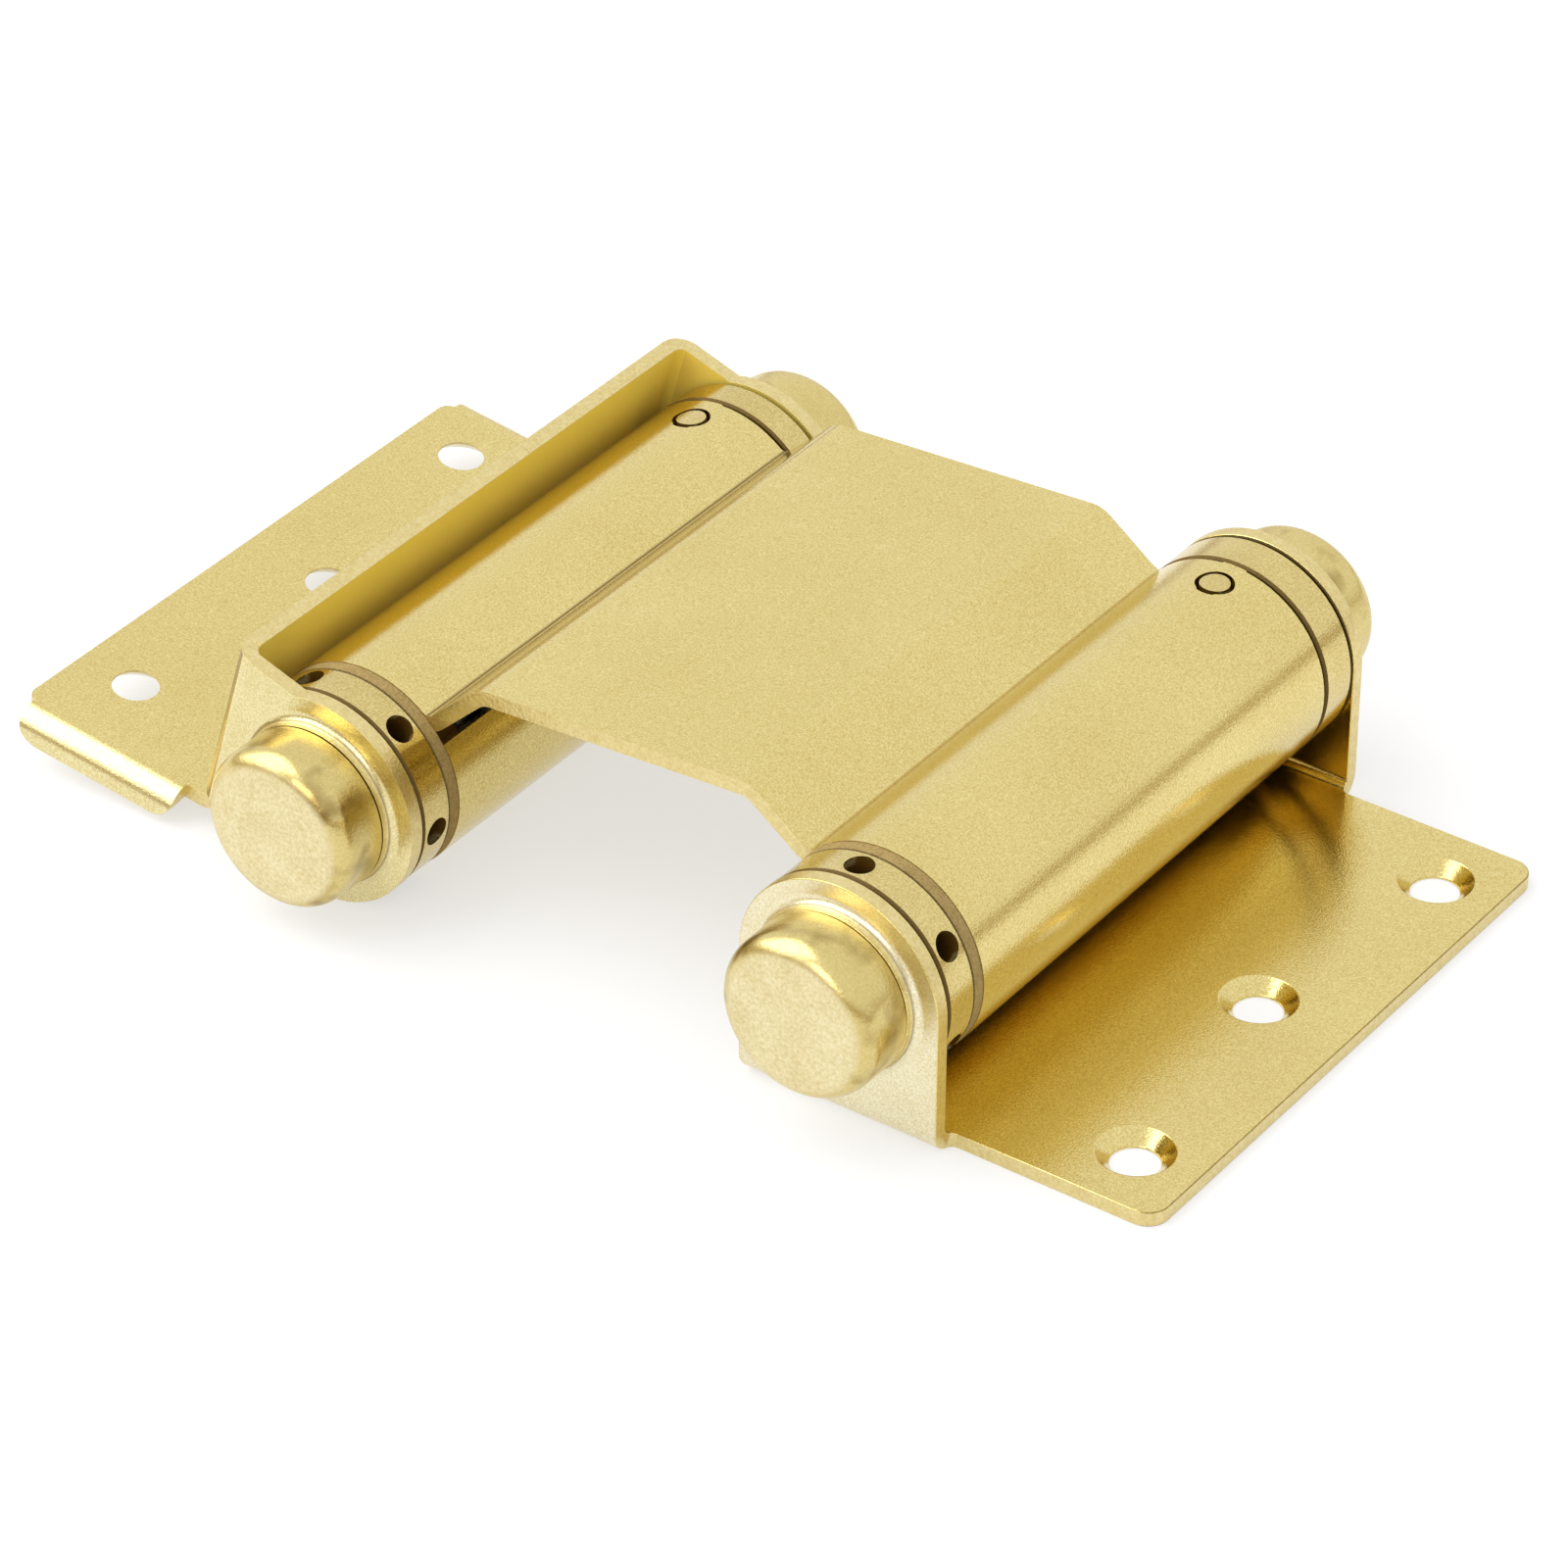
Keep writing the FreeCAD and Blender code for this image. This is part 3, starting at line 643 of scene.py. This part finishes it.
def build_world():
    """White studio seen by the camera; the metal sees it a little darker towards the horizon."""
    world = bpy.data.worlds.new("studio")
    world.use_nodes = True
    bpy.context.scene.world = world
    tree = world.node_tree
    tree.nodes.clear()
    output = tree.nodes.new("ShaderNodeOutputWorld")
    seen = add_node(tree, "ShaderNodeBackground", Color=(1, 1, 1, 1), Strength=1.0)
    around = add_node(tree, "ShaderNodeBackground", Strength=1.0)
    mix = tree.nodes.new("ShaderNodeMixShader")
    path = tree.nodes.new("ShaderNodeLightPath")
    way = tree.nodes.new("ShaderNodeTexCoord")
    lean = add_node(tree, "ShaderNodeVectorMath", operation="DOT_PRODUCT")
    ramp = tree.nodes.new("ShaderNodeValToRGB")
    lean.inputs[1].default_value = horizon_lean
    while len(ramp.color_ramp.elements) < len(sky_stops):
        ramp.color_ramp.elements.new(0.5)
    for element, (position, colour) in zip(ramp.color_ramp.elements, sky_stops):
        element.position = position
        element.color = colour
    link = tree.links.new
    link(way.outputs["Generated"], lean.inputs[0])
    link(lean.outputs["Value"], ramp.inputs["Fac"])
    link(ramp.outputs["Color"], around.inputs["Color"])
    link(path.outputs["Is Camera Ray"], mix.inputs["Fac"])
    link(around.outputs["Background"], mix.inputs[1])
    link(seen.outputs["Background"], mix.inputs[2])
    link(mix.outputs["Shader"], output.inputs["Surface"])


def build_lamps():
    """Broad soft boxes, named with their place, size in metres and power in watts."""
    for name, place, size, power in soft_boxes:
        lamp = bpy.data.lights.new(name, "AREA")
        lamp.size = size
        lamp.energy = power
        holder = bpy.data.objects.new(name, lamp)
        bpy.context.scene.collection.objects.link(holder)
        aim = Vector(place) - view_target
        holder.matrix_world = Matrix.Translation(place) @ aim.to_track_quat("Z", "Y").to_matrix().to_4x4()


# Places of painted shade, in the joints, the holes, round the caps' seats and along the centre plate's bends:
# axis, radius, depth and share of the end faces
joint_radius = barrel_radius - 0.15 * millimetre
frame_joint_shade = (frame_axis, joint_radius, 0.2 * millimetre, 0.0)
door_joint_shade = (door_axis, joint_radius, 0.2 * millimetre, 0.0)
frame_hole_shade = (frame_axis, joint_radius, 1.0 * millimetre, 1.0)
door_hole_shade = (door_axis, joint_radius, 1.0 * millimetre, 1.0)
frame_cap_seat_shade = (frame_axis, cap_seat_radius, 0.25 * millimetre, 0.0)
door_cap_seat_shade = (door_axis, cap_seat_radius, 0.25 * millimetre, 0.0)
valley_shade = (valley_line, 0.3 * millimetre, 0.3 * millimetre, 0.0)
web_bend_shade = (bend_line, 0.3 * millimetre, 0.3 * millimetre, 0.0)

# Materials, with the scales of their clouds and grain
speckle = speckle_group()
painted_shade = shade_group()
satin = (0.12, 0.18)
sheet_look = {"scales": (45, 4600), "grain_amount": 0.7, "roughness": satin, "bump": 0.4}
lit_cream_look = {"scales": (220, 4200), "grain_amount": 0.7, "bump": 0.4}
# Flat, hardly metallic ochre: painted shade of the plating inside the door leaf's wall and rear ear
shaded_ochre_look = {"scales": (40, 3300), "grain_amount": 0.3, "roughness": (0.5, 0.6), "bump": 0.2,
              "metallic": 0.2}
plated_sheet = speckled("plated_sheet", gold_pale, gold_deep, **sheet_look)
# Painted shade along the centre plate's bends, and round the barrels on the ears' inner faces
centre_sheet = speckled("centre_sheet", gold_pale, gold_deep, **sheet_look, shade_places=(valley_shade, web_bend_shade))
frame_ear_inside = speckled("frame_ear_inside", gold_pale, gold_deep, **sheet_look, shade_places=(frame_joint_shade,))
door_ear_inside = speckled("door_ear_inside", gold_pale, gold_deep, **sheet_look, shade_places=(door_joint_shade,))
# Outer faces of the ears: paler cream as painted highlight, with painted shade round the caps' seats
ear_lit_cream = speckled("ear_lit_cream", lit_cream_pale, lit_cream_deep, **lit_cream_look, roughness=(0.26, 0.34),
                     shade_places=(frame_cap_seat_shade,))
leaf_lit_cream = speckled("leaf_lit_cream", leaf_lit_pale, leaf_lit_deep, **lit_cream_look, roughness=(0.2, 0.28),
                      shade_places=(door_cap_seat_shade,))
# Inside of the door leaf's wall and rear ear: flat ochre, painted shade
wall_shaded_ochre = speckled("wall_shaded_ochre", shaded_ochre_pale, shaded_ochre_deep, **shaded_ochre_look)
ear_shaded_ochre = speckled("ear_shaded_ochre", shaded_ochre_ear_pale, shaded_ochre_ear_deep, **shaded_ochre_look)
# Turned pieces: painted shade inside their holes and on their end faces in the gaps
plated_turned = speckled("plated_turned", turned_pale, turned_deep, scales=(140, 4200), grain_amount=0.6,
                         roughness=satin, bump=0.4, shade_places=(frame_hole_shade, door_hole_shade))
plated_cap = cap_material()
sheared_edge = speckled("sheared_edge", sheared_pale, sheared_deep, scales=(900, 2600), grain_amount=0.5,
                        roughness=(0.3, 0.4), bump=1.0)
# Thin brown outline on the sheet pieces' softened edges
brown_arris = speckled("brown_arris", arris_pale, arris_deep, scales=(700, 2600), grain_amount=0.5,
                      roughness=(0.3, 0.4), bump=0.4)
# Brown folds of the door leaf's ears: painted shade
fold_painted_shade = speckled("fold_painted_shade", fold_shade_pale, fold_shade_deep, scales=(300, 3000), grain_amount=0.5,
                      roughness=(0.3, 0.4), bump=0.4)
# Dark brown, hardly shiny, of the barrels' rear ends and the pins' hole walls: painted shade in the joints
joint_painted_shade = speckled("joint_painted_shade", shade_brown, shade_brown, scales=(400, 3000), grain_amount=0.5,
                      roughness=(0.6, 0.8), bump=0.5, metallic=0.0)
fibre = speckled("fibre", fibre_pale, fibre_dark, scales=(900, 3500), grain_amount=0.5,
                 roughness=(0.7, 0.9), bump=1.0, metallic=0.0)
drawn_steel = speckled("drawn_steel", steel_pale, steel_dark, scales=(200, 2500), grain_amount=0.3,
                       roughness=(0.25, 0.4), bump=0.5)
oiled_spring = speckled("oiled_spring", oiled_pale, oiled_dark, scales=(300, 2500), grain_amount=0.3,
                        roughness=(0.3, 0.45), bump=0.5)

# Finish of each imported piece, by its slot in the record
finishes = {
    "plated_sheet": plated_sheet,
    "plated_turned": plated_turned,
    "plated_cap": plated_cap,
    "spindle_steel": drawn_steel,
    "spring_steel": oiled_spring,
    "fibre": fibre,
}
for part in frame["record"]["subparts"]:
    mesh = frame["nodes"][part["node"]].data
    mesh.materials.clear()
    mesh.materials.append(finishes[part["material_slot"]])

# Sheet pieces; each list of materials is in the order of the finish numbers
centre_materials = (centre_sheet, sheared_edge, joint_painted_shade, brown_arris)
centre = sheet_piece("centre_plate", "rolled_centre_plate", centre_materials, centre_finish)
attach(centre, "centre")
frame_materials = (plated_sheet, sheared_edge, joint_painted_shade, brown_arris, ear_lit_cream, frame_ear_inside)
frame_leaf = sheet_piece("frame_leaf", "folded_frame_leaf", frame_materials, frame_leaf_finish)
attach(frame_leaf, "frame_side")
door_materials = (plated_sheet, sheared_edge, joint_painted_shade, brown_arris, leaf_lit_cream, door_ear_inside,
                  wall_shaded_ochre, ear_shaded_ochre, fold_painted_shade)
door_leaf = sheet_piece("door_leaf", "folded_door_leaf", door_materials, door_leaf_finish)
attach(door_leaf, "door_side")

# Springs
wound_spring("frame_torsion_spring", "frame_wound_spring")
wound_spring("door_torsion_spring", "door_wound_spring")

# Studio
build_camera()
build_floor()
build_world()
build_lamps()
bpy.context.scene.view_settings.view_transform = "Standard"
